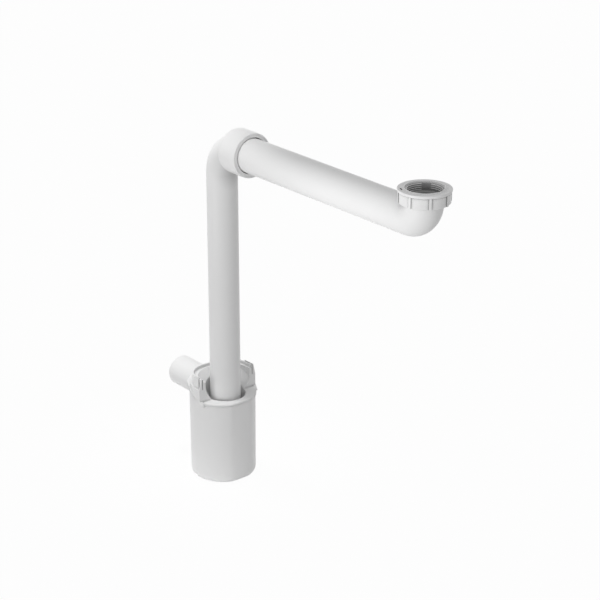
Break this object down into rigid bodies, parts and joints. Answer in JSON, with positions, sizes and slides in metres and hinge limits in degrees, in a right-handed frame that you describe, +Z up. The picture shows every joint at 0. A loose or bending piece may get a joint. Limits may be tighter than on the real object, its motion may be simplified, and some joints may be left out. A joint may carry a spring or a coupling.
{
  "type": "basin trap",
  "caption": "Space-saving white basin trap: a height-adjustable dip tube in a clip-lidded pot, a wall outlet spigot, and a long inlet pipe ending in an upturned union nut.",
  "frame": {"origin": "centre of the outlet spigot's open end", "axes": "+X from the wall outlet towards the basin waste, +Z up, along the dip tube and the union nut's axis"},
  "size_m": [0.5068, 0.092, 0.4972],
  "materials": {
    "white_plastic": "satin white moulded polypropylene",
    "seal_rubber": "matt black rubber",
    "washer_plastic": "pale grey soft polyethylene"
  },
  "bodies": {
    "housing": {"trap_pot": "white_plastic", "trap_lid": "white_plastic", "lid_gasket": "seal_rubber", "dip_seal_ring": "white_plastic"},
    "dip_seal_body": {"dip_seal": "seal_rubber"},
    "riser": {"dip_tube": "white_plastic", "pipe_seal_ring": "white_plastic"},
    "pipe_seal_body": {"pipe_seal": "seal_rubber"},
    "inlet": {"inlet_pipe": "white_plastic", "nut_washer": "washer_plastic"},
    "nut": {"union_nut": "white_plastic"}
  },
  "joints": [
    {"name": "dip_swivel", "type": "hinge", "parent": "housing", "child": "dip_seal_body", "pos_m": [0.1, 0, -0.03], "axis": [0, 0, 1], "continuous": true},
    {"name": "dip_height", "type": "slide", "parent": "dip_seal_body", "child": "riser", "axis": [0, 0, 1], "range_m": [-0.015, 0.02]},
    {"name": "pipe_swivel", "type": "hinge", "parent": "riser", "child": "pipe_seal_body", "pos_m": [0.15, 0, 0.342], "axis": [1, 0, 0], "continuous": true},
    {"name": "pipe_reach", "type": "slide", "parent": "pipe_seal_body", "child": "inlet", "axis": [1, 0, 0], "range_m": [-0.005, 0.006]},
    {"name": "nut_spin", "type": "hinge", "parent": "inlet", "child": "nut", "pos_m": [0.4744, 0, 0.375], "axis": [0, 0, 1], "continuous": true}
  ]
}
